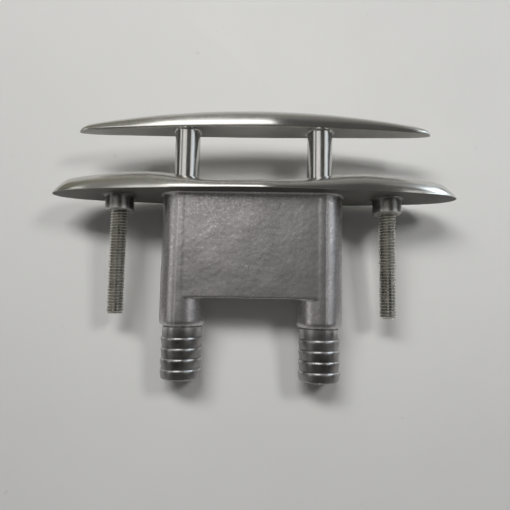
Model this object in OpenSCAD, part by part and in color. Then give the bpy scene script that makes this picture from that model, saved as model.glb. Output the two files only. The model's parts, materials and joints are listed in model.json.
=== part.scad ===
// Pull-up deck cleat. An arched horn stands on two round posts that slide down through a
// leaf-shaped base plate into a pair of drained guide tubes below the deck.
// +Z points up out of the deck, X runs along the horn, and the origin lies on the deck
// face, under the middle of the base plate. The horn is drawn fully raised.

/* [Horn] */
// Length of the horn
horn_l = 203.2; // [190:0.1:206]
// Width of the horn at its middle
horn_w = 18.8; // [16:0.1:20]
// Width that the horn tapers to before its tip rounds off
horn_tip_w = 8.4; // [6:0.1:10]
// Thickness of the horn at its middle
horn_t = 11.9; // [9:0.1:13]
// Thickness that the horn tapers to before its tip rounds off
horn_tip_t = 3.8; // [3:0.1:5]
// Height of the horn's underside above the deck at its tips
horn_tip_z = 37.2; // [36.5:0.1:38]
// How much higher the underside arches at the middle
horn_arch = 1.2; // [0:0.1:2]

/* [Base plate] */
// Length of the base plate
base_l = 230; // [224:0.5:236]
// Width of the base plate at its middle
base_w = 47; // [44:0.5:50]
// Width that the base tapers to before its ends round off
base_tip_w = 25; // [22:0.5:28]
// Height of the crown in the dip between the posts
dip_h = 8.7; // [8:0.1:10]
// Height of the crown at the two humps
hump_h = 13.4; // [12:0.1:15]
// Distance of each hump from the middle
hump_x = 62; // [58:0.5:66]
// Height of the crown where the bow slope starts
shoulder_h = 9.4; // [8.5:0.1:10.5]
// Distance from the middle at which the bow slope starts
shoulder_x = 104; // [102:0.5:106]
// Rise of the bow slope for each millimetre of length
bow_slope = 0.95; // [0.8:0.01:1.1]
// Thickness of metal left under the horn's pocket
pocket_floor = 2.4; // [2:0.1:3.5]
// Clearance round the horn in its pocket
pocket_gap = 0.9; // [0.6:0.1:1.2]

/* [Posts and stops] */
// Diameter of each post
post_d = 14.3; // [13.5:0.1:15]
// Distance between the two posts
post_pitch = 76.2; // [72:0.1:80]
// Depth that each post is set into the horn
post_set = 5; // [3:0.5:6]
// Diameter of the stop collar under each post
collar_d = 17.2; // [16.6:0.1:17.4]
// Thickness of the stop collar
collar_t = 6; // [4:0.5:7]
// Diameter of the collar screw's shank
screw_d = 6.35; // [5:0.05:7]
// Length of the collar screw's shank in the post
screw_grip = 15; // [10:1:16]

/* [Guides and drains] */
// Outside diameter of each guide tube
tube_d = 25.4; // [25:0.1:27]
// Bore of each guide tube
bore_d = 19.8; // [19.5:0.1:20.2]
// Length of each guide tube below the deck
tube_l = 72.7; // [71:0.1:76]
// Depth of the web between the tubes
web_depth = 57.2; // [50:0.1:60]
// Length of each guide bush
bush_l = 20; // [16:0.5:22]
// Distance from one hose ledge to the next
barb_pitch = 5.66; // [5:0.02:6]
// Number of hose ledges on each drain
barb_count = 4; // [2:1:4]
// Diameter of a hose ledge
barb_d = 22.6; // [22.2:0.1:23]
// Diameter just above a ledge
barb_root_d = 21.2; // [20.8:0.1:21.6]
// Bore of each drain
drain_d = 16; // [14:0.1:16.4]

/* [Studs] */
// Thread diameter of each deck stud
stud_d = 9.525; // [9.4:0.005:10]
// Distance between the two studs
stud_pitch = 152.4; // [148:0.1:156]
// Depth that each stud reaches below the deck face
stud_reach = 67.2; // [50:0.1:80]
// Diameter of the boss round each stud
boss_d = 15.9; // [15:0.1:17]
// Height of each boss
boss_h = 9; // [7:0.5:11]

/* [Hidden] */
$fn = 64;

LEFT = -1;
RIGHT = 1;
eps = 0.01;

// How round the plan is at its middle, and how blunt the plan and the profile are at the tips
horn_plan_round = 0.45;
horn_plan_nose = 20;
horn_side_nose = 40;
base_plan_round = 0.3;
base_plan_nose = 10;
shoulder_power = 1.5;
shoulder_blend = 1.5;
dip_flat = 15;
thin_edge = 0.05;

// Steps along a loft and across its crown
horn_steps = 36;
base_steps = 48;
crown_steps = 14;
pocket_steps = 40;
last_angle = 88;

// Clearances
run_gap = 0.05;
stop_gap = 0.15;
fit_gap = 0.05;
floor_hole_d = 16;

// Bush, ring and clip
flute_w = 3;
flute_r = 9.1;
flute_count = 4;
ring_z = -6;
ring_section_d = 1.5;
ring_groove_h = 1.8;
clip_t = 1.2;
clip_in_r = 8.95;
clip_out_r = 10.6;
clip_gap_w = 6;
clip_groove_h = 1.4;

// Screw and washer
washer_t = 1.2;
washer_in_r = 3.3;
washer_out_r = 5.4;
washer_slit = 1;
head_d = 10.4;
head_h = 3.6;
socket_af = 4;
socket_depth = 2.2;

// Housing and drains
web_inset = 0.3;
lip_h = 1.6;
lip_out = 1.4;
tube_end_chamfer = 1.2;
barb_gap = 0.6;
spigot_l = 7;
barb_chamfer = 1.4;

// Bosses, studs and welds
weld_out = 1.6;
weld_h = 1.6;
stud_chamfer = 1;
stud_top_gap = 0.6;
stud_neck_d = 9.1;

post_bottom = -bush_l - stop_gap;
post_top = horn_tip_z + post_set;
weld_top = horn_tip_z + 0.9;
barb_top = -tube_l - barb_gap;
barb_bottom = barb_top - (barb_count + 1) * barb_pitch;

// Rounds a taper off to nothing at its end: 1 along most of the length, 0 at the tip
function nose(u, bluntness) = sqrt(max(0, 1 - pow(min(1, u), bluntness)));

// Goes from 0 to 1 with u, rounded off near 0 and almost straight after that
function taper(u, round_off) = (norm([u, round_off]) - round_off) / (norm([1, round_off]) - round_off);

// Rises smoothly from 0 to 1 as t goes from 0 to 1
function ease(t) = let (c = min(1, max(0, t))) c * c * (3 - 2 * c);

// The lower of two values, with the corner between them blended
function blended_min(a, b, blend) = (a + b - sqrt((a - b) * (a - b) + blend * blend)) / 2;

// Stations from one tip to the other, closer together near the tips
function stations(half_l, steps) =
    [for (i = [0:steps]) half_l * sin(last_angle * (2 * i / steps - 1))];

function horn_u(x) = abs(x) / (horn_l / 2);
function horn_half_w(x) = let (u = horn_u(x))
    (horn_tip_w + (horn_w - horn_tip_w) * (1 - taper(u, horn_plan_round))) / 2
    * nose(u, horn_plan_nose);
function horn_under(x) = let (u = horn_u(x)) horn_tip_z + horn_arch * (1 - u * u);
function horn_top(x) = let (u = horn_u(x))
    horn_under(x) + (horn_tip_t + (horn_t - horn_tip_t) * (1 - u * u)) * nose(u, horn_side_nose);

function base_u(x) = abs(x) / (base_l / 2);
function base_half_w(x) = let (u = base_u(x))
    (base_tip_w + (base_w - base_tip_w) * (1 - taper(u, base_plan_round))) / 2
    * nose(u, base_plan_nose);
function base_rise(x) = (hump_h - dip_h) * ease((abs(x) - dip_flat) / (hump_x - dip_flat));
function base_fall(x) = (hump_h - shoulder_h)
    * pow(max(0, (abs(x) - hump_x) / (shoulder_x - hump_x)), shoulder_power);
function base_top(x) = max(thin_edge, blended_min(dip_h + base_rise(x) - base_fall(x),
    bow_slope * (base_l / 2 - abs(x)), shoulder_blend));

// One cross-section: a flat underside with an elliptical crown over it
function crown_ring(x, half_w, under, top) = [for (k = [0:crown_steps])
    let (a = 180 * k / crown_steps) [x, -half_w * cos(a), under + (top - under) * sin(a)]];

// A solid through a list of cross-sections that all have the same number of points
module loft(rings) {
    m = len(rings[0]);
    last = (len(rings) - 1) * m;
    sides = [for (i = [0:len(rings) - 2], k = [0:m - 1], half = [0, 1])
        let (a = i * m + k, b = i * m + (k + 1) % m)
        half == 0 ? [a, b, b + m] : [a, b + m, a + m]];
    start_cap = [[for (k = [m - 1:-1:0]) k]];
    end_cap = [[for (k = [0:m - 1]) last + k]];
    polyhedron([for (ring = rings, p = ring) p], concat(sides, start_cap, end_cap));
}

// Puts its children on the axis of the post or the stud on that side
module at_post(side) {
    translate([side * post_pitch / 2, 0, 0]) children();
}

module at_stud(side) {
    translate([side * stud_pitch / 2, 0, 0]) children();
}

// A round bar, or a round taper, from z = low to z = high
module bar(d, low, high) {
    translate([0, 0, low]) cylinder(d = d, h = high - low);
}

module cone(d_low, d_high, low, high) {
    translate([0, 0, low]) cylinder(d1 = d_low, d2 = d_high, h = high - low);
}

module horn() {
    color("#c9c6bd") difference() {
        loft([for (x = stations(horn_l / 2, horn_steps))
            crown_ring(x, horn_half_w(x), horn_under(x), horn_top(x))]);
        for (side = [LEFT, RIGHT]) at_post(side) bar(post_d, 0, post_top);
    }
}

module post(side) {
    color("#b9b7b0") at_post(side) difference() {
        union() {
            bar(post_d, post_bottom, post_top);
            cone(post_d, post_d + 2 * weld_out, weld_top - weld_h, weld_top);
        }
        bar(screw_d, post_bottom - eps, post_bottom + screw_grip + stop_gap);
    }
}

module stop_collar(side) {
    color("#8c8a84") at_post(side) difference() {
        bar(collar_d, post_bottom - collar_t, post_bottom);
        bar(screw_d + 2 * fit_gap, post_bottom - collar_t - eps, post_bottom + eps);
    }
}

module lock_washer(side) {
    top = post_bottom - collar_t;
    color("#77756f") at_post(side) difference() {
        bar(2 * washer_out_r, top - washer_t, top);
        bar(2 * washer_in_r, top - washer_t - eps, top + eps);
        translate([0, -washer_slit / 2, top - washer_t - eps])
            cube([washer_out_r + 1, washer_slit, washer_t + 2 * eps]);
    }
}

module collar_screw(side) {
    seat = post_bottom - collar_t - washer_t;
    color("#6f6d68") at_post(side) difference() {
        union() {
            bar(screw_d, seat, post_bottom + screw_grip);
            bar(head_d, seat - head_h, seat);
        }
        translate([0, 0, seat - head_h - eps])
            cylinder(d = socket_af / cos(30), h = socket_depth + eps, $fn = 6);
    }
}

module pocket() {
    half_l = horn_l / 2;
    grow = (half_l + pocket_gap) / half_l;
    xs = stations(half_l, pocket_steps);
    front = [for (x = xs) [x * grow, -horn_half_w(x) - pocket_gap]];
    back = [for (i = [len(xs) - 1:-1:0]) [xs[i] * grow, horn_half_w(xs[i]) + pocket_gap]];
    translate([0, 0, pocket_floor]) linear_extrude(2 * hump_h) polygon(concat(front, back));
}

module base_plate() {
    color("#c4c1b8") difference() {
        loft([for (x = stations(base_l / 2, base_steps))
            crown_ring(x, base_half_w(x), 0, base_top(x))]);
        pocket();
        for (side = [LEFT, RIGHT]) at_post(side) bar(floor_hole_d, -1, hump_h);
    }
}

module tube_housing() {
    web_w = tube_d - 2 * web_inset;
    color("#8f8a88") difference() {
        union() {
            for (side = [LEFT, RIGHT]) at_post(side) {
                bar(tube_d, tube_end_chamfer - tube_l, 0);
                cone(tube_d - 2 * tube_end_chamfer, tube_d, -tube_l, tube_end_chamfer - tube_l);
                bar(tube_d + 2 * lip_out, -lip_h, 0);
            }
            translate([-post_pitch / 2, -web_w / 2, -web_depth])
                cube([post_pitch, web_w, web_depth]);
            translate([-post_pitch / 2, -web_w / 2 - lip_out, -lip_h])
                cube([post_pitch, web_w + 2 * lip_out, lip_h]);
        }
        for (side = [LEFT, RIGHT]) at_post(side) {
            bar(bore_d, -tube_l - 1, 1);
            bar(2 * (clip_out_r + fit_gap), -bush_l - clip_groove_h, -bush_l);
        }
    }
}

module guide_bush(side) {
    post_hole_d = post_d + 2 * run_gap;
    color("#e8e6dc") at_post(side) difference() {
        bar(bore_d - 2 * fit_gap, -bush_l, 0);
        bar(post_hole_d, -bush_l - 1, 1);
        bar(post_hole_d + 2 * ring_section_d, ring_z - ring_groove_h / 2, ring_z + ring_groove_h / 2);
        for (i = [0:flute_count - 1]) rotate([0, 0, 360 * (i + 0.5) / flute_count])
            translate([0, -flute_w / 2, -bush_l - 1]) cube([flute_r, flute_w, bush_l + 2]);
    }
}

module friction_ring(side) {
    color("#2a2a2a") at_post(side) translate([0, 0, ring_z]) rotate_extrude()
        translate([post_d / 2 + run_gap + ring_section_d / 2, 0]) circle(d = ring_section_d - fit_gap);
}

module bush_clip(side) {
    top = -bush_l - fit_gap;
    color("#8d8b86") at_post(side) difference() {
        bar(2 * clip_out_r, top - clip_t, top);
        bar(2 * clip_in_r, top - clip_t - eps, top + eps);
        translate([0, -clip_gap_w / 2, top - clip_t - eps])
            cube([clip_out_r + 1, clip_gap_w, clip_t + 2 * eps]);
    }
}

// Outline of a drain: spigot, then a ledge at each pitch with a taper under it
module barb_outline() {
    bore_r = drain_d / 2;
    root_r = barb_root_d / 2;
    ledge_r = barb_d / 2;
    spigot_r = bore_d / 2 - fit_gap;
    ledges = [for (k = [1:barb_count], p = [[root_r, 0], [ledge_r, 0]])
        [p[0], barb_top - k * barb_pitch]];
    polygon(concat(
        [[bore_r, barb_top + spigot_l], [spigot_r, barb_top + spigot_l], [spigot_r, barb_top],
            [root_r + (ledge_r - root_r) / 2, barb_top]],
        ledges,
        [[ledge_r - 0.2, barb_bottom + barb_chamfer], [ledge_r - barb_chamfer, barb_bottom],
            [bore_r, barb_bottom]]));
}

module drain_barb(side) {
    color("#6d6a66") at_post(side) rotate_extrude() barb_outline();
}

module stud_boss(side) {
    color("#a3a09a") at_stud(side) difference() {
        union() {
            bar(boss_d, -boss_h, 0);
            cone(boss_d, boss_d + 2 * weld_out, -weld_h, 0);
        }
        bar(stud_neck_d + 2 * fit_gap, -boss_h - 1, 0);
    }
}

module deck_stud(side) {
    color("#93908a") at_stud(side) {
        bar(stud_neck_d, -boss_h - eps, -stud_top_gap);
        bar(stud_d, stud_chamfer - stud_reach, -boss_h);
        cone(stud_d - 2 * stud_chamfer, stud_d, -stud_reach, stud_chamfer - stud_reach);
    }
}

horn();
post(LEFT);  // post_left
post(RIGHT);  // post_right
stop_collar(LEFT);  // stop_collar_left
stop_collar(RIGHT);  // stop_collar_right
lock_washer(LEFT);  // lock_washer_left
lock_washer(RIGHT);  // lock_washer_right
collar_screw(LEFT);  // collar_screw_left
collar_screw(RIGHT);  // collar_screw_right
base_plate();
tube_housing();
guide_bush(LEFT);  // guide_bush_left
guide_bush(RIGHT);  // guide_bush_right
friction_ring(LEFT);  // friction_ring_left
friction_ring(RIGHT);  // friction_ring_right
bush_clip(LEFT);  // bush_clip_left
bush_clip(RIGHT);  // bush_clip_right
drain_barb(LEFT);  // drain_barb_left
drain_barb(RIGHT);  // drain_barb_right
stud_boss(LEFT);  // stud_boss_left
stud_boss(RIGHT);  // stud_boss_right
deck_stud(LEFT);  // deck_stud_left
deck_stud(RIGHT);  // deck_stud_right
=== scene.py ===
"""Looks of a pull-up deck cleat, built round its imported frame.

The smooth skins of the horn, base plate, posts, housing, drains, bosses and threaded studs are
made here, each in the space its CAD node holds. Lengths are in metres.
"""
import json
import math

import bmesh
import bpy
import numpy as np
from mathutils import Matrix, Vector, noise


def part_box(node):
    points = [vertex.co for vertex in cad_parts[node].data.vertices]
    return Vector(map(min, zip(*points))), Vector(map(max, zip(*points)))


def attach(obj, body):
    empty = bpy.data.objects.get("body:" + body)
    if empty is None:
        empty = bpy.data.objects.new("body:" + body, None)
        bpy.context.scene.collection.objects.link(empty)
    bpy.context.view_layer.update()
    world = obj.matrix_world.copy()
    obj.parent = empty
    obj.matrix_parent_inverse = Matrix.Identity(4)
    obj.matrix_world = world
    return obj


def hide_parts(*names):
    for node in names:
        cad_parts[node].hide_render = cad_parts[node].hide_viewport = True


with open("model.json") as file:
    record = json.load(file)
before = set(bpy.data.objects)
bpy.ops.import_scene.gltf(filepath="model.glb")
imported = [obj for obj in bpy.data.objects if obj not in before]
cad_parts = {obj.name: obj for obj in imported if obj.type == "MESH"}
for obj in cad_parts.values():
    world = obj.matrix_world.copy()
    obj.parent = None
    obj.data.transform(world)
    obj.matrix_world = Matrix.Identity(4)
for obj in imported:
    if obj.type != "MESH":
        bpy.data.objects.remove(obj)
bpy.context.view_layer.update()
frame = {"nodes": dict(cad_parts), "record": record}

MM = 0.001

# ---------------------------------------------------------------- sizes taken from the frame
HORN_LOW, HORN_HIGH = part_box("horn")
BASE_LOW, BASE_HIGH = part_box("base_plate")
HOUSING_LOW, HOUSING_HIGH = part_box("tube_housing")
POST_LOW, POST_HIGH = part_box("post_right")
BOSS_LOW, BOSS_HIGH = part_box("stud_boss_right")
STUD_LOW, STUD_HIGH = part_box("deck_stud_right")
BARB_LOW, BARB_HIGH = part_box("drain_barb_right")

SIDES = {"left": -1, "right": 1}
POST_X = (POST_LOW.x + POST_HIGH.x) / 2
STUD_X = (STUD_LOW.x + STUD_HIGH.x) / 2
STUD_R = (STUD_HIGH.x - STUD_LOW.x) / 2
POST_R = 7.15 * MM
TUBE_R = 12.7 * MM
BORE_R = 9.9 * MM
WEB_DEPTH, WEB_INSET = 57.2 * MM, 0.15 * MM
HOUSING_LIP, HOUSING_VOXEL = 1.4 * MM, 0.42 * MM
SEAM_X = 39.9 * MM  # the casting's seam, just outside each tube's middle
BARB_PITCH = 5.66 * MM
THREAD_PITCH, THREAD_DEPTH = 25.4 * MM / 16, 0.88 * MM

# ---------------------------------------------------------------- profile of the horn and base
HORN_HALF_L = HORN_HIGH.x
HORN_W, HORN_TIP_W = 18.8 * MM, 8.4 * MM
HORN_T, HORN_TIP_T = 11.9 * MM, 3.8 * MM
HORN_TIP_Z, HORN_ARCH = HORN_LOW.z, 1.2 * MM
BASE_HALF_L = BASE_HIGH.x
BASE_W, BASE_TIP_W = 47.0 * MM, 25.0 * MM
DIP_H, HUMP_H, SHOULDER_H = 8.7 * MM, 13.4 * MM, 9.4 * MM
DIP_FLAT, HUMP_X, SHOULDER_X = 15.0 * MM, 62.0 * MM, 104.0 * MM
BOW_SLOPE, BOW_BLEND, TIP_EDGE = 0.95, 1.5 * MM, 0.5 * MM
POCKET_GAP, POCKET_FLOOR = 0.9 * MM, 2.4 * MM
FLOOR_HOLE_R = 8.0 * MM


def nose(u, bluntness):
    """1 along most of a taper, falling to 0 at its tip."""
    return np.sqrt(np.maximum(0.0, 1.0 - np.minimum(1.0, u) ** bluntness))


def taper(u, round_off):
    """0 to 1 with u, rounded near 0 and almost straight after that."""
    return (np.hypot(u, round_off) - round_off) / (math.hypot(1, round_off) - round_off)


def ease(t):
    t = np.clip(t, 0, 1)
    return t * t * (3 - 2 * t)


def horn_half_w(x, grow=0.0):
    u = np.abs(x) / HORN_HALF_L
    flat = (HORN_TIP_W + (HORN_W - HORN_TIP_W) * (1 - taper(u, 0.45))) / 2
    return (flat + grow) * nose(u, 20)


def horn_under(x):
    return HORN_TIP_Z + HORN_ARCH * (1 - (x / HORN_HALF_L) ** 2)


def horn_thick(x):
    u = np.abs(x) / HORN_HALF_L
    return (HORN_TIP_T + (HORN_T - HORN_TIP_T) * (1 - u * u)) * nose(u, 40)


def base_half_w(x):
    u = np.abs(x) / BASE_HALF_L
    return (BASE_TIP_W + (BASE_W - BASE_TIP_W) * (1 - taper(u, 0.3))) / 2 * nose(u, 10)


def base_crown(x):
    """Height of the base plate's crown along its middle."""
    a = np.abs(x)
    rise = (HUMP_H - DIP_H) * ease((a - DIP_FLAT) / (HUMP_X - DIP_FLAT))
    past = np.maximum(0, (a - HUMP_X) / (SHOULDER_X - HUMP_X))
    hump = DIP_H + rise - (HUMP_H - SHOULDER_H) * past ** 1.5
    bow = BOW_SLOPE * (BASE_HALF_L - a) + TIP_EDGE
    return (hump + bow - np.sqrt((hump - bow) ** 2 + BOW_BLEND ** 2)) / 2


def base_height(x, y):
    """Height of the base plate's crowned top over a point of its plan."""
    w = np.maximum(base_half_w(x), 1e-6)
    return base_crown(x) * np.sqrt(np.maximum(0, 1 - np.minimum(1, np.abs(y) / w) ** 2))


# ---------------------------------------------------------------- mesh helpers
def finish_mesh(obj, sharp_deg=35):
    """Merges doubled points, turns the faces outwards and shades smooth between sharp edges."""
    bm = bmesh.new()
    bm.from_mesh(obj.data)
    bmesh.ops.remove_doubles(bm, verts=bm.verts, dist=0.004 * MM)
    bmesh.ops.dissolve_degenerate(bm, edges=bm.edges, dist=0.002 * MM)
    bmesh.ops.recalc_face_normals(bm, faces=bm.faces)
    bm.to_mesh(obj.data)
    bm.free()
    obj.data.shade_smooth()
    obj.data.set_sharp_from_angle(angle=math.radians(sharp_deg))
    obj.data.update()
    return obj


def mesh_object(name, verts, faces, sharp_deg=35):
    mesh = bpy.data.meshes.new(name)
    mesh.from_pydata([tuple(v) for v in verts], [], faces)
    obj = bpy.data.objects.new(name, mesh)
    bpy.context.scene.collection.objects.link(obj)
    return finish_mesh(obj, sharp_deg)


def grid_object(name, rings, sharp_deg=35, close_rings=False, capped=True):
    """A skin over a list of closed rings with the same number of points in each."""
    rings = np.asarray(rings)
    count, points = rings.shape[:2]
    faces = []
    for i in range(count if close_rings else count - 1):
        here, there = i * points, ((i + 1) % count) * points
        for j in range(points):
            k = (j + 1) % points
            faces.append((here + j, here + k, there + k, there + j))
    if capped and not close_rings:
        faces.append(tuple(range(points)))
        faces.append(tuple(range((count - 1) * points, count * points)))
    return mesh_object(name, rings.reshape(-1, 3), faces, sharp_deg)


def lathe(name, profile, centre_x, segments=128, wobble=None, sharp_deg=35):
    """A closed outline of (radius, z) points turned round the line x = centre_x, y = 0."""
    rings = []
    for r, z in profile:
        ring = []
        for j in range(segments):
            a = 2 * math.pi * j / segments
            dr, dz = wobble(a, r, z) if wobble else (0, 0)
            ring.append((centre_x + (r + dr) * math.cos(a), (r + dr) * math.sin(a), z + dz))
        rings.append(ring)
    return grid_object(name, rings, sharp_deg, close_rings=True)


def arc(r0, z0, radius, start_deg, end_deg, steps=8):
    """Points on an arc in the (radius, z) plane."""
    angles = np.radians(np.linspace(start_deg, end_deg, steps + 1))
    return [(r0 + radius * math.cos(a), z0 + radius * math.sin(a)) for a in angles]


def apply_modifiers(obj):
    depsgraph = bpy.context.evaluated_depsgraph_get()
    mesh = bpy.data.meshes.new_from_object(obj.evaluated_get(depsgraph))
    obj.modifiers.clear()
    obj.data = mesh


def combine(obj, tools, operation):
    """Cuts, joins or intersects obj with the tool meshes, which are then removed."""
    for tool in tools:
        step = obj.modifiers.new("combine", "BOOLEAN")
        step.operation = operation
        step.solver = "EXACT"
        step.object = tool
    apply_modifiers(obj)
    for tool in tools:
        bpy.data.objects.remove(tool)
    return obj


def bar(name, x, r, low, high, segments=128):
    return lathe(name, [(0, low), (r, low), (r, high), (0, high)], x, segments)


# ---------------------------------------------------------------- material helpers
class Nodes:
    """A short way to write a node tree."""

    def __init__(self, tree):
        self.tree = tree
        tree.nodes.clear()

    def add(self, kind, inputs=None, **settings):
        node = self.tree.nodes.new(kind)
        for key, value in settings.items():
            setattr(node, key, value)
        for key, value in (inputs or {}).items():
            if isinstance(value, bpy.types.NodeSocket):
                self.tree.links.new(value, node.inputs[key])
            else:
                node.inputs[key].default_value = value
        return node

    def math(self, operation, a, b=0.0):
        node = self.add("ShaderNodeMath", {0: a, 1: b}, operation=operation)
        return node.outputs[0]

    def range(self, value, low, high, to_low, to_high, smooth=False):
        node = self.add("ShaderNodeMapRange", {
            "Value": value, "From Min": low, "From Max": high,
            "To Min": to_low, "To Max": to_high})
        node.interpolation_type = "SMOOTHSTEP" if smooth else "LINEAR"
        return node.outputs["Result"]

    def scaled(self, coords, scale):
        node = self.add("ShaderNodeMapping", {"Vector": coords, "Scale": scale})
        return node.outputs["Vector"]

    def noise(self, coords, scale, detail=3.0, roughness=0.5):
        node = self.add("ShaderNodeTexNoise", {
            "Vector": coords, "Scale": scale, "Detail": detail, "Roughness": roughness})
        return node.outputs["Fac"]

    def cells(self, coords, scale):
        node = self.add("ShaderNodeTexVoronoi", {"Vector": coords, "Scale": scale})
        return node.outputs["Distance"]

    def mix(self, factor, a, b):
        node = self.add("ShaderNodeMix", {0: factor}, data_type="RGBA")
        for index, value in ((6, a), (7, b)):
            if isinstance(value, bpy.types.NodeSocket):
                self.tree.links.new(value, node.inputs[index])
            else:
                node.inputs[index].default_value = (*value, 1)
        return node.outputs[2]

    def bump(self, height, strength, distance, normal=None):
        inputs = {"Height": height, "Strength": strength, "Distance": distance}
        if normal is not None:
            inputs["Normal"] = normal
        return self.add("ShaderNodeBump", inputs).outputs["Normal"]


def new_material(name, metallic):
    """A material with a Principled shader: gives its nodes, the shader and object coordinates."""
    mat = bpy.data.materials.new(name)
    mat.use_nodes = True
    n = Nodes(mat.node_tree)
    shader = n.add("ShaderNodeBsdfPrincipled", {"Metallic": metallic})
    out = n.add("ShaderNodeOutputMaterial", {"Surface": shader.outputs["BSDF"]})
    out.target = "ALL"
    coords = n.add("ShaderNodeTexCoord").outputs["Object"]
    return mat, n, shader, coords


def connect(n, shader, **sockets):
    for key, value in sockets.items():
        n.tree.links.new(value, shader.inputs[key.replace("_", " ")])


def polished_steel():
    """Stainless polished along its length, with haze and shallow waves; undersides are satin and
    also get a much darker tint, which is painted shade.
    """
    mat, n, shader, coords = new_material("polished_steel", 1.0)
    haze = n.noise(coords, 60, 4)
    lines = n.noise(n.scaled(coords, (35, 1400, 1400)), 1, 3, 0.6)
    waves = n.noise(coords, 38, 1)
    tint = n.mix(haze, (0.66, 0.645, 0.60), (0.74, 0.725, 0.69))
    rough = n.math("ADD", n.range(haze, 0.3, 0.7, 0.15, 0.2), n.range(lines, 0.4, 0.7, 0, 0.05))
    normal = n.bump(waves, 0.25, 0.5 * MM)
    height = n.add("ShaderNodeSeparateXYZ", {0: coords}).outputs[2]
    facing = n.add("ShaderNodeTexCoord").outputs["Normal"]
    facing = n.add("ShaderNodeSeparateXYZ", {0: facing}).outputs[2]
    # Painted shade: faces turned down and the base's flat underside get a much darker tint below,
    # along with the real satin roughness of the undersides.
    downward_satin_and_shade = n.range(facing, -0.95, -0.75, 0.55, 0)
    under = n.math("MAXIMUM", n.range(height, 0.05 * MM, 0.3 * MM, 1, 0), downward_satin_and_shade)
    # The dark tint mixed in here is painted shade; the roughness added next is the satin finish.
    tint = n.mix(under, tint, n.mix(haze, (0.17, 0.165, 0.155), (0.27, 0.26, 0.25)))
    rough = n.math("ADD", rough, n.math("MULTIPLY", under, 0.26))
    around = n.add("ShaderNodeTangent", direction_type="RADIAL", axis="X").outputs[0]
    shader.inputs["Anisotropic"].default_value = 0.95
    connect(n, shader, Base_Color=tint, Roughness=rough, Normal=normal, Tangent=around)
    return mat


def post_steel():
    """Drawn and buffed bar: streaks along the post under a light haze."""
    mat, n, shader, coords = new_material("post_steel", 1.0)
    streak = n.noise(n.scaled(coords, (900, 900, 18)), 1, 4, 0.6)
    haze = n.noise(coords, 120, 3)
    tint = n.mix(streak, (0.42, 0.41, 0.39), (0.64, 0.63, 0.61))
    rough = n.math("ADD", n.range(haze, 0.3, 0.7, 0.13, 0.2), n.range(streak, 0.4, 0.7, 0, 0.08))
    normal = n.bump(streak, 0.12, 0.03 * MM)
    connect(n, shader, Base_Color=tint, Roughness=rough, Normal=normal)
    return mat


def cast_steel():
    """Shot-blasted casting: fine sparkling grain, soft blotches and a seam down each tube, tinted
    lighter along it as a painted highlight.
    """
    mat, n, shader, coords = new_material("cast_steel", 1.0)
    grain = n.noise(coords, 900, 3, 0.65)
    fine = n.cells(coords, 1500)
    blotch = n.noise(coords, 45, 3)
    pits = n.cells(coords, 420)
    tint = n.mix(blotch, (0.49, 0.467, 0.47), (0.68, 0.652, 0.655))
    tint = n.mix(n.range(grain, 0.45, 0.32, 0, 0.32), tint, (0.25, 0.24, 0.24))
    tint = n.mix(n.range(grain, 0.56, 0.68, 0, 0.6), tint, (0.97, 0.95, 0.94))
    rough = n.range(grain, 0.35, 0.7, 0.42, 0.3)
    normal = n.bump(grain, 0.45, 0.10 * MM)
    normal = n.bump(fine, 0.3, 0.05 * MM, normal)
    normal = n.bump(n.range(pits, 0.0, 0.25, 0, 1), 0.25, 0.06 * MM, normal)
    xyz = n.add("ShaderNodeSeparateXYZ", {0: coords}).outputs
    off_seam = n.math("ABSOLUTE", n.math("SUBTRACT", n.math("ABSOLUTE", xyz[0]), SEAM_X))
    seam = n.range(off_seam, 0, 0.8 * MM, 1, 0, smooth=True)
    one_side = n.math("GREATER_THAN", n.math("MULTIPLY", xyz[0], xyz[1]), 0.0)
    seam = n.math("MULTIPLY", seam, one_side)
    # Painted highlight: the seam is tinted lighter to stand in for the glint along it; the bump
    # below is its real ridge.
    tint = n.mix(n.math("MULTIPLY", seam, 0.4), tint, (0.95, 0.93, 0.93))
    normal = n.bump(seam, 0.35, 0.1 * MM, normal)
    connect(n, shader, Base_Color=tint, Roughness=rough, Normal=normal)
    return mat


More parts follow.
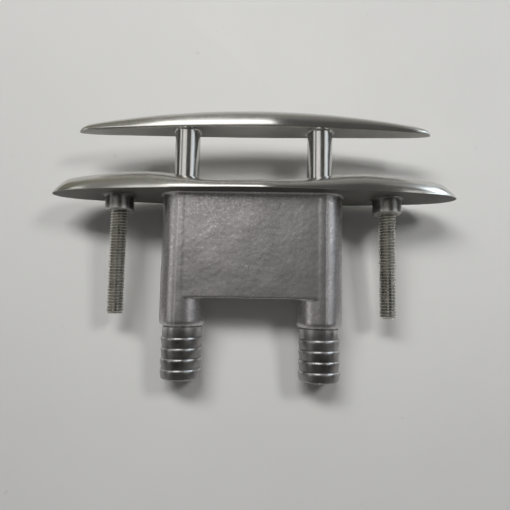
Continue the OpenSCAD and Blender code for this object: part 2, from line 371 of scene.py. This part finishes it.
def worn_steel(name, dark, light, rough_low, rough_high, ledges=False):
    """Dull stainless: turning rings round Z, small scratches, and lighter, rougher edges that are
    partly rubbed wear and partly painted highlight; with ledges, each ledge of a barb also gets a
    painted highlight band.
    """
    mat, n, shader, coords = new_material(name, 1.0)
    rings = n.noise(n.scaled(coords, (25, 25, 5200)), 1, 2, 0.5)
    blotch = n.noise(coords, 150, 4)
    grain = n.noise(coords, 1400, 3)
    edge = n.add("ShaderNodeNewGeometry").outputs["Pointiness"]
    # Edges found by pointiness are tinted lighter and rougher: partly rubbed wear, partly painted
    # highlight.
    rub_and_highlight = n.range(edge, 0.51, 0.58, 0, 1, smooth=True)
    if ledges:
        height = n.add("ShaderNodeSeparateXYZ", {0: coords}).outputs[2]
        above = n.math("SUBTRACT", height, BARB_LOW.z)
        step = n.math("FRACT", n.math("DIVIDE", above, BARB_PITCH))
        # Painted highlight: a light band along each ledge of the barb, broken up by the grain.
        patchy = n.range(grain, 0.38, 0.6, 0.3, 1)
        ledge_highlight = n.math("MULTIPLY", n.range(step, 0.8, 0.93, 0, 1), patchy)
        rub_and_highlight = n.math("MAXIMUM", rub_and_highlight, ledge_highlight)
    tint = n.mix(n.range(blotch, 0.3, 0.7, 0, 1), dark, light)
    # The lighter tint here is partly rubbed wear and partly painted highlight.
    tint = n.mix(rub_and_highlight, tint, tuple(min(1, 1.7 * c + 0.12) for c in light))
    rough = n.range(n.math("ADD", blotch, grain), 0.7, 1.3, rough_low, rough_high)
    rough = n.math("MAXIMUM", rough, n.math("MULTIPLY", rub_and_highlight, 0.45))
    normal = n.bump(rings, 0.15, 0.02 * MM)
    normal = n.bump(grain, 0.2, 0.04 * MM, normal)
    connect(n, shader, Base_Color=tint, Roughness=rough, Normal=normal)
    return mat


def soft_material(name, dark, light, rough, scale):
    """Moulded plastic or rubber with a faint mottle and a fine surface grain."""
    mat, n, shader, coords = new_material(name, 0.0)
    mottle = n.noise(coords, scale, 4)
    grain = n.noise(coords, 3000, 2)
    tint = n.mix(mottle, dark, light)
    connect(n, shader, Base_Color=tint,
            Roughness=n.range(mottle, 0.3, 0.7, rough - 0.08, rough + 0.08),
            Normal=n.bump(grain, 0.2, 0.02 * MM))
    return mat


MATERIALS = {
    "polished_steel": polished_steel(),
    "post_steel": post_steel(),
    "cast_steel": cast_steel(),
    "barb_steel": worn_steel(
        "barb_steel", (0.22, 0.215, 0.21), (0.40, 0.39, 0.385), 0.26, 0.44, ledges=True),
    "turned_steel": worn_steel(
        "turned_steel", (0.15, 0.147, 0.138), (0.29, 0.28, 0.265), 0.24, 0.42),
    "stud_steel": worn_steel("stud_steel", (0.34, 0.33, 0.30), (0.52, 0.50, 0.46), 0.22, 0.4),
    "screw_steel": worn_steel("screw_steel", (0.4, 0.39, 0.37), (0.52, 0.51, 0.48), 0.22, 0.36),
    "spring_steel": worn_steel("spring_steel", (0.3, 0.29, 0.28), (0.42, 0.41, 0.4), 0.28, 0.42),
    "acetal": soft_material("acetal", (0.74, 0.73, 0.68), (0.84, 0.83, 0.78), 0.42, 200),
    "nitrile": soft_material("nitrile", (0.012, 0.012, 0.012), (0.03, 0.03, 0.03), 0.55, 400),
}
SLOT_OF = {part["node"]: part["material_slot"] for part in frame["record"]["subparts"]}


def dress(obj, slot):
    obj.data.materials.clear()
    obj.data.materials.append(MATERIALS[slot])


def place(obj, body, slot, *nodes):
    """Gives a finished piece its material and its body, and hides the CAD nodes that it stands for.
    """
    dress(obj, slot)
    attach(obj, body)
    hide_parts(*nodes)


# ---------------------------------------------------------------- the horn
def horn_ring(x, crown_steps=44, corner_steps=6):
    """A cross-section: elliptical crown, rounded lower corners and a flat underside."""
    w, under, t = horn_half_w(x), horn_under(x), horn_thick(x)
    corner = max(min(1.0 * MM, 0.3 * t, 0.3 * w), 1e-7)
    start = math.asin(min(1, corner / max(t, 1e-6)))
    ring = []
    for k in range(crown_steps + 1):
        a = start + (math.pi - 2 * start) * k / crown_steps
        ring.append((x, -w * math.cos(a), under + t * math.sin(a)))
    side = w * math.cos(start) - corner
    for sign in (1, -1):
        for k in range(1, corner_steps + 1):
            a = math.pi / 2 * k / corner_steps
            across = corner * (math.cos(a) if sign == 1 else math.sin(a))
            drop = corner * (math.sin(a) if sign == 1 else math.cos(a))
            ring.append((x, sign * (side + across), under + corner - drop))
    return ring


def make_horn():
    stations = HORN_HALF_L * np.sin(np.linspace(-math.pi / 2, math.pi / 2, 181))
    obj = grid_object("horn_skin", [horn_ring(x) for x in stations], sharp_deg=60)
    place(obj, "horn_and_posts", "polished_steel", "horn")


# ---------------------------------------------------------------- the base plate
def plan_loop(half_l, half_w_of, points=320):
    """A closed outline in plan, evenly spread in angle so the tips get close points."""
    angle = 2 * math.pi * np.arange(points) / points
    x = half_l * np.cos(angle)
    return x, np.sign(np.sin(angle)) * half_w_of(np.abs(x))


def make_base():
    x_out, y_out = plan_loop(BASE_HALF_L, base_half_w)
    pocket_l = HORN_HALF_L + POCKET_GAP
    x_in, y_in = plan_loop(
        pocket_l, lambda x: horn_half_w(x * HORN_HALF_L / pocket_l, POCKET_GAP))
    span = np.hypot(x_out - x_in, y_out - y_in)
    inward_x, inward_y = (x_in - x_out) / span, (y_in - y_out) / span
    rings = []

    def ring(x, y, z):
        rings.append(np.stack([x, y, z + 0 * x], 1))

    for along, across in ((0.5, 0.0), (0.5, 0.5), (0.85, 0.85)):
        ring(x_out * along, y_out * across, 0)
    edge_r = 0.35 * MM
    for k in range(7):
        a = math.pi / 2 * k / 6
        ease_in = edge_r * (1 - math.sin(a))
        ring(x_out + inward_x * ease_in, y_out + inward_y * ease_in, edge_r * (1 - math.cos(a)))
    rim_r = 0.9 * MM
    steps = 34
    for k in range(1, steps + 1):
        s = (k / steps) ** 2
        reach = s * (span - rim_r)
        x, y = x_out + inward_x * reach, y_out + inward_y * reach
        ring(x, y, np.maximum(edge_r * 1.02, base_height(x, y)))
    rim_z = rings[-1][:, 2]
    for k in range(1, 7):
        a = math.pi / 2 * k / 6
        reach = span - rim_r + rim_r * math.sin(a)
        ring(x_out + inward_x * reach, y_out + inward_y * reach, rim_z - rim_r * (1 - math.cos(a)))
    floor_r = 0.8 * MM
    wall_top = rings[-1][:, 2]
    for part in (0.33, 0.66, 1.0):
        ring(x_in, y_in, wall_top + (POCKET_FLOOR + floor_r - wall_top) * part)
    for k in range(1, 6):
        a = math.pi / 2 * k / 5
        reach = floor_r * (1 - math.cos(a))
        scale = 1 - reach / np.maximum(np.hypot(x_in, y_in), 5 * MM)
        ring(x_in * scale, y_in * scale, POCKET_FLOOR + floor_r * (1 - math.sin(a)))
    last_x, last_y = rings[-1][:, 0], rings[-1][:, 1]
    for part in (0.6, 0.3, 0.0):
        ring(last_x, last_y * part, POCKET_FLOOR)
    obj = grid_object("base_skin", rings, sharp_deg=50, capped=False)
    holes = [bar("hole", side * POST_X, FLOOR_HOLE_R, -1 * MM, 5 * MM) for side in SIDES.values()]
    combine(obj, holes, "DIFFERENCE")
    finish_mesh(obj, 50)
    place(obj, "base", "polished_steel", "base_plate")


# ---------------------------------------------------------------- posts
def make_post(side_name, side):
    low, high = POST_LOW.z, POST_HIGH.z
    weld_z, weld_r, chamfer = HORN_TIP_Z + 0.9 * MM, 1.1 * MM, 0.6 * MM

    def bead(a, r, z):
        near = max(0.0, (z - weld_z + weld_r) / weld_r) if r > POST_R else 0.0
        ripple = math.sin(7 * a + side) + 0.6 * math.sin(11 * a) * math.sin(3 * a + 1)
        return 0.07 * MM * min(1, near) * ripple, 0.0

    profile = [(0, low), (POST_R - chamfer, low), (POST_R, low + chamfer)]
    profile += [(POST_R, low + chamfer + (weld_z - weld_r - low - chamfer) * k / 6)
                for k in range(1, 6)]
    profile += arc(POST_R + weld_r, weld_z - weld_r, weld_r, 180, 95, 8)
    profile += [(POST_R + weld_r * 0.95, weld_z + 0.5 * MM), (POST_R, weld_z + 1.5 * MM),
                (POST_R - 1 * MM, high), (0, high)]
    obj = lathe(f"post_skin_{side_name}", profile, side * POST_X, 144, bead)
    place(obj, "horn_and_posts", "post_steel", f"post_{side_name}")


# ---------------------------------------------------------------- tube housing
def stadium_ring(offset, z, arc_steps=60):
    """The outline of both tubes and the web, a little behind them, pushed out by offset."""
    r = TUBE_R + offset
    turn = math.degrees(math.acos(1 - WEB_INSET / TUBE_R)) * (1 if offset < 0.1 * MM else 0)
    ring = []
    for centre, start in ((POST_X, -90 - turn), (-POST_X, 90 - turn)):
        for k in range(arc_steps + 1):
            a = math.radians(start + (180 + 2 * turn) * k / arc_steps)
            ring.append((centre + r * math.cos(a), r * math.sin(a), z))
    return ring


def make_housing():
    lip = HOUSING_LIP
    levels = [(lip * (1 - math.sin(a)), -lip * (1 - math.cos(a)))
              for a in np.linspace(0, math.pi / 2, 7)]
    levels += [(0.0, -lip - (WEB_DEPTH - lip) * k / 4) for k in range(1, 5)]
    body = grid_object("tube_housing_skin", [stadium_ring(*level) for level in levels])
    bottom = HOUSING_LOW.z
    chamfer = 1.2 * MM
    for side in SIDES.values():
        profile = [(0, bottom), (TUBE_R - chamfer, bottom), (TUBE_R - 0.3 * MM, bottom + chamfer),
                   (TUBE_R, bottom + 2 * chamfer), (TUBE_R, -WEB_DEPTH / 2), (0, -WEB_DEPTH / 2)]
        tube = lathe("tube", profile, side * POST_X)
        bpy.context.view_layer.objects.active = body
        with bpy.context.temp_override(active_object=body, selected_editable_objects=[body, tube]):
            bpy.ops.object.join()
    remesh = body.modifiers.new("fuse", "REMESH")
    remesh.mode = "VOXEL"
    remesh.voxel_size = HOUSING_VOXEL
    soften = body.modifiers.new("soften", "SMOOTH")
    soften.factor, soften.iterations = 0.5, 4
    apply_modifiers(body)
    places = np.empty(len(body.data.vertices) * 3)
    normals = np.empty_like(places)
    body.data.vertices.foreach_get("co", places)
    body.data.vertices.foreach_get("normal", normals)
    places, normals = places.reshape(-1, 3), normals.reshape(-1, 3)
    for place_at, normal in zip(places, normals):
        if place_at[2] < -0.2 * MM:
            at = Vector(place_at)
            push = noise.noise(at * 90) * 0.12 + noise.noise(at * 420) * 0.04
            seam = math.exp(-(((abs(at.x) - SEAM_X) / (0.45 * MM)) ** 2))
            push += 0.05 * seam
            place_at += normal * push * MM
    body.data.vertices.foreach_set("co", places.ravel())
    bores = [bar("bore", side * POST_X, BORE_R, bottom - 2 * MM, 2 * MM) for side in SIDES.values()]
    combine(body, bores, "DIFFERENCE")
    finish_mesh(body, 50)
    place(body, "base", "cast_steel", "tube_housing")


# ---------------------------------------------------------------- drains
def make_barb(side_name, side):
    ledge_r, root_r, neck_r = 11.3 * MM, 10.55 * MM, 10.9 * MM
    pitch, bottom = BARB_PITCH, BARB_LOW.z
    spigot_top = BARB_HIGH.z
    shoulder = bottom + 5 * pitch
    bore_r, spigot_r = 8.0 * MM, BORE_R - 0.05 * MM

    def uneven(a, r, z):
        if r < root_r - 0.1 * MM:
            return 0.0, 0.0
        at = Vector((math.cos(a), math.sin(a), z * 120 + side * 9))
        return 0.1 * MM * noise.noise(at * 1.7), 0.14 * MM * noise.noise(at * 1.1)

    profile = [(bore_r, spigot_top), (spigot_r - 0.3 * MM, spigot_top),
               (spigot_r, spigot_top - 0.4 * MM), (spigot_r, shoulder + 0.05 * MM),
               (neck_r - 0.3 * MM, shoulder), (neck_r, shoulder - 0.3 * MM)]
    for k in range(1, 5):
        z = shoulder - k * pitch
        profile += [(root_r + 0.08 * MM, z + 0.5 * MM), (root_r, z + 0.12 * MM),
                    (root_r + 0.12 * MM, z), (ledge_r - 0.34 * MM, z - 0.02 * MM),
                    (ledge_r - 0.14 * MM, z - 0.32 * MM), (ledge_r, z - 0.8 * MM),
                    (ledge_r - 0.05 * MM, z - 1.6 * MM)]
    profile += arc(ledge_r - 1.8 * MM, bottom + 1.5 * MM, 1.5 * MM, -10, -90, 6)
    profile += [(bore_r + 0.4 * MM, bottom), (bore_r, bottom + 0.4 * MM)]
    obj = lathe(f"drain_barb_skin_{side_name}", profile, side * POST_X, 160, uneven, 28)
    place(obj, "base", "barb_steel", f"drain_barb_{side_name}")


# ---------------------------------------------------------------- bosses and studs
def make_boss(side_name, side):
    r, foot, weld, chamfer = 7.95 * MM, BOSS_LOW.z, 1.6 * MM, 0.7 * MM
    hole_r = STUD_R + 0.12 * MM

    def bead(a, ring_r, z):
        near = 1.0 if ring_r > r + 0.1 * MM and z < -0.05 * MM else 0.0
        return 0.12 * MM * near * math.sin(13 * a + side), 0.0

    profile = [(hole_r, foot + 0.5 * MM), (hole_r + 0.5 * MM, foot), (r - chamfer, foot),
               (r, foot + chamfer), (r, foot + 3 * MM)]
    profile += arc(r + weld, -weld, weld, 180, 92, 8)
    profile += [(r + weld, 0), (hole_r, 0)]
    obj = lathe(f"stud_boss_skin_{side_name}", profile, side * STUD_X, 96, bead)
    place(obj, "base", "turned_steel", f"stud_boss_{side_name}")


def thread_profile(phase, depth):
    """Depth of a 60 degree thread below its crest at a place in its pitch."""
    flat = 0.14
    v = abs(phase - 0.5) * 2
    return depth * min(1.0, max(0.0, (1 - v - flat / 2) / (1 - 1.5 * flat)))


def make_stud(side_name, side):
    low, top = STUD_LOW.z, STUD_HIGH.z
    pitch, depth = THREAD_PITCH, THREAD_DEPTH
    turn_points, rows_per_turn = 48, 10
    start = low - 2 * pitch
    turns = int((top - start) / pitch) + 3
    rows = turns * rows_per_turn
    verts = []
    for j in range(turn_points):
        a = 2 * math.pi * j / turn_points
        for k in range(rows + 1):
            phase = (k % rows_per_turn) / rows_per_turn
            r = STUD_R - thread_profile(phase, depth)
            z = start + pitch * (k / rows_per_turn + j / turn_points)
            verts.append((side * STUD_X + r * math.cos(a), r * math.sin(a), z))
    faces = []
    for j in range(turn_points):
        last = j == turn_points - 1
        shift = rows_per_turn if last else 0
        here, there = j * (rows + 1), ((j + 1) % turn_points) * (rows + 1)
        for k in range(rows - shift):
            faces.append((here + k, there + k + shift, there + k + shift + 1, here + k + 1))
    obj = mesh_object(f"deck_stud_skin_{side_name}", verts, faces, 30)
    bm = bmesh.new()
    bm.from_mesh(obj.data)
    bmesh.ops.holes_fill(bm, edges=[e for e in bm.edges if e.is_boundary])
    bmesh.ops.triangulate(bm, faces=[f for f in bm.faces if len(f.verts) > 4])
    bmesh.ops.recalc_face_normals(bm, faces=bm.faces)
    bm.to_mesh(obj.data)
    bm.free()
    chamfer = 1.1 * MM
    outside = STUD_R + 0.01 * MM
    outline = [(0, low), (STUD_R - chamfer, low), (outside, low + chamfer), (outside, top), (0, top)]
    envelope = lathe("envelope", outline, side * STUD_X, 96)
    combine(obj, [envelope], "INTERSECT")
    finish_mesh(obj, 30)
    place(obj, "base", "stud_steel", f"deck_stud_{side_name}")


# ---------------------------------------------------------------- studio
# Soft patches of light and dark seen from the fitting, as in an office with windows: azimuth
# from -Y towards +X and elevation, both in degrees, softness of both edges, colour, strength.
PATCHES = [
    ("left_wall", (-158, -62), (22, 72), 8, 8, (1.0, 0.985, 0.80), 0.205),
    ("left_low", (-128, -66), (-20, 21), 5, 5, (1.0, 0.98, 0.95), 0.05),
    ("front_low", (-50, 60), (-60, 4), 8, 10, (1.0, 0.98, 0.95), 0.07),
    ("front_mid", (-36, -2), (10, 30), 10, 10, (1.0, 0.99, 0.98), 1.2),
    ("dark_wall", (3, 52), (5, 62), 2, 5, (1.0, 1.0, 1.0), 0.08),
    ("right_low", (57, 128), (-20, 20), 5, 5, (1.0, 1.0, 1.0), 0.07),
    ("right_sky", (54, 152), (22, 58), 6, 6, (0.90, 0.95, 1.0), 0.45),
    ("right_glint", (58, 82), (22, 46), 4, 6, (0.78, 0.90, 1.0), 3.2),
    ("right_mid", (50, 70), (4, 27), 4, 5, (0.86, 0.94, 1.0), 1.3),
    ("strip_left", (-63, -51), (-14, 25), 3, 4, (1.0, 1.0, 0.99), 1.2),
    ("strip_right", (38, 52), (-10, 25), 3, 4, (1.0, 1.0, 0.99), 1.05),
    ("back_right", (148, 190), (-50, 40), 8, 10, (1.0, 1.0, 0.98), 0.5),
    ("back_left", (-190, -148), (-50, 40), 8, 10, (1.0, 1.0, 0.98), 0.5),
    ("key_window", (-29.5, 4), (33, 51), 0.8, 6, (1.0, 1.0, 1.0), 2.9),
]
ROOM_COLOUR, ROOM_STRENGTH = (1.0, 0.985, 0.93), 0.24
PLAIN_BACKGROUND = (0.72, 0.715, 0.70)
TABLE_HALF = 1.6
FOCAL_LENGTH = 29.209
# Name, place, width and height in metres, power in watts
LAMPS = [
    ("window_lamp", (-0.24, -0.79, 0.55), (0.70, 0.23), 5.9),
    ("side_lamp", (0.45, -0.58, 0.27), (0.15, 0.16), 1.6),
    ("fill_lamp", (0.0, -1.0, 0.1), (5.0, 5.0), 8.5),
]


def soft_box(n, value, limits, soft):
    low = n.range(value, limits[0] - soft / 2, limits[0] + soft / 2, 0, 1, smooth=True)
    high = n.range(value, limits[1] - soft / 2, limits[1] + soft / 2, 1, 0, smooth=True)
    return n.math("MULTIPLY", low, high)


def make_world():
    world = bpy.data.worlds.new("studio")
    bpy.context.scene.world = world
    world.use_nodes = True
    n = Nodes(world.node_tree)
    direction = n.add("ShaderNodeTexCoord").outputs["Generated"]
    xyz = n.add("ShaderNodeSeparateXYZ", {0: direction}).outputs
    toward = n.math("MULTIPLY", xyz[1], -1.0)
    azimuth = n.math("DEGREES", n.math("ARCTAN2", xyz[0], toward))
    elevation = n.math("DEGREES", n.math("ARCSINE", xyz[2]))
    colour = n.mix(0.0, tuple(ROOM_STRENGTH * c for c in ROOM_COLOUR), (0, 0, 0))
    for _, az, el, az_soft, el_soft, tint, strength in PATCHES:
        across, upward = soft_box(n, azimuth, az, az_soft), soft_box(n, elevation, el, el_soft)
        mask = n.math("MULTIPLY", across, upward)
        colour = n.mix(mask, colour, tuple(strength * c for c in tint))
    lit = n.add("ShaderNodeBackground", {"Color": colour, "Strength": 1.0})
    plain = n.add("ShaderNodeBackground", {"Color": (*PLAIN_BACKGROUND, 1), "Strength": 1.0})
    seen = n.add("ShaderNodeLightPath").outputs["Is Camera Ray"]
    mixed = n.add("ShaderNodeMixShader", {0: seen, 1: lit.outputs[0], 2: plain.outputs[0]})
    n.add("ShaderNodeOutputWorld", {"Surface": mixed.outputs[0]})
    world.cycles_visibility.diffuse = False


def make_lamp(name, place_at, size, watts):
    """A soft light aimed at the fitting that lights dull surfaces but shows in no mirror."""
    data = bpy.data.lights.new(name, "AREA")
    data.shape, data.size, data.size_y, data.energy = "RECTANGLE", size[0], size[1], watts
    lamp = bpy.data.objects.new(name, data)
    bpy.context.scene.collection.objects.link(lamp)
    lamp.location = place_at
    lamp.rotation_euler = (-lamp.location).to_track_quat("-Z", "Y").to_euler()
    lamp.visible_glossy = False
    lamp.visible_camera = False


def make_table():
    """The pale table that the fitting lies on with its back down. It shows from the front only."""
    touch_base = Vector((0, BASE_HIGH.y, 0))
    touch_barb = Vector((0, 11.5 * MM, BARB_LOW.z))
    along = (touch_base - touch_barb).normalized()
    across = Vector((1, 0, 0))
    corners = []
    for s, t in ((-1, -1), (1, -1), (1, 1), (-1, 1)):
        corners.append(touch_base + (across * s + along * t) * TABLE_HALF)
    mesh = bpy.data.meshes.new("table")
    mesh.from_pydata([tuple(p) for p in corners], [], [(0, 1, 2, 3)])
    table = bpy.data.objects.new("table", mesh)
    bpy.context.scene.collection.objects.link(table)
    if mesh.polygons[0].normal.y > 0:
        mesh.flip_normals()
    mat, n, shader, coords = new_material("table", 0.0)
    cloud = n.noise(coords, 9, 4)
    speck = n.noise(coords, 160, 3)
    tint = n.mix(cloud, (0.70, 0.695, 0.675), (0.79, 0.785, 0.765))
    tint = n.mix(n.range(speck, 0.72, 0.8, 0, 0.25), tint, (0.45, 0.44, 0.42))
    connect(n, shader, Base_Color=tint, Roughness=n.range(cloud, 0.3, 0.7, 0.5, 0.62))
    clear = n.add("ShaderNodeBsdfTransparent")
    back = n.add("ShaderNodeNewGeometry").outputs["Backfacing"]
    mixed = n.add("ShaderNodeMixShader", {
        0: back, 1: shader.outputs["BSDF"], 2: clear.outputs[0]})
    n.add("ShaderNodeOutputMaterial", {"Surface": mixed.outputs[0]}, is_active_output=True)
    table.data.materials.append(mat)
    table.visible_shadow = False


def make_camera():
    """The camera's place, and how it is turned: yaw and pitch off +Y, and roll."""
    data = bpy.data.cameras.new("camera")
    data.sensor_width, data.lens = 36.0, FOCAL_LENGTH
    data.clip_start, data.clip_end = 0.01, 20
    camera = bpy.data.objects.new("camera", data)
    bpy.context.scene.collection.objects.link(camera)
    yaw, pitch, roll = (math.radians(v) for v in (-1.09, 5.11, 1.04))
    forward = Vector((math.sin(yaw) * math.cos(pitch), math.cos(yaw) * math.cos(pitch),
                      math.sin(pitch)))
    flat_right = Vector((math.cos(yaw), -math.sin(yaw), 0))
    flat_up = flat_right.cross(forward)
    right = math.cos(roll) * flat_right + math.sin(roll) * flat_up
    up = math.cos(roll) * flat_up - math.sin(roll) * flat_right
    turn = Matrix((right, up, -forward)).transposed().to_4x4()
    camera.matrix_world = Matrix.Translation((6.4 * MM, -232.8 * MM, -53.8 * MM)) @ turn
    bpy.context.scene.camera = camera


# ---------------------------------------------------------------- build
make_camera()
make_world()
for lamp in LAMPS:
    make_lamp(*lamp)
make_table()
make_horn()
make_base()
make_housing()
for side_name, side in SIDES.items():
    make_post(side_name, side)
    make_barb(side_name, side)
    make_boss(side_name, side)
    make_stud(side_name, side)
for node_name, node in frame["nodes"].items():
    dress(node, SLOT_OF[node_name])
bpy.context.scene.view_settings.view_transform = "Standard"
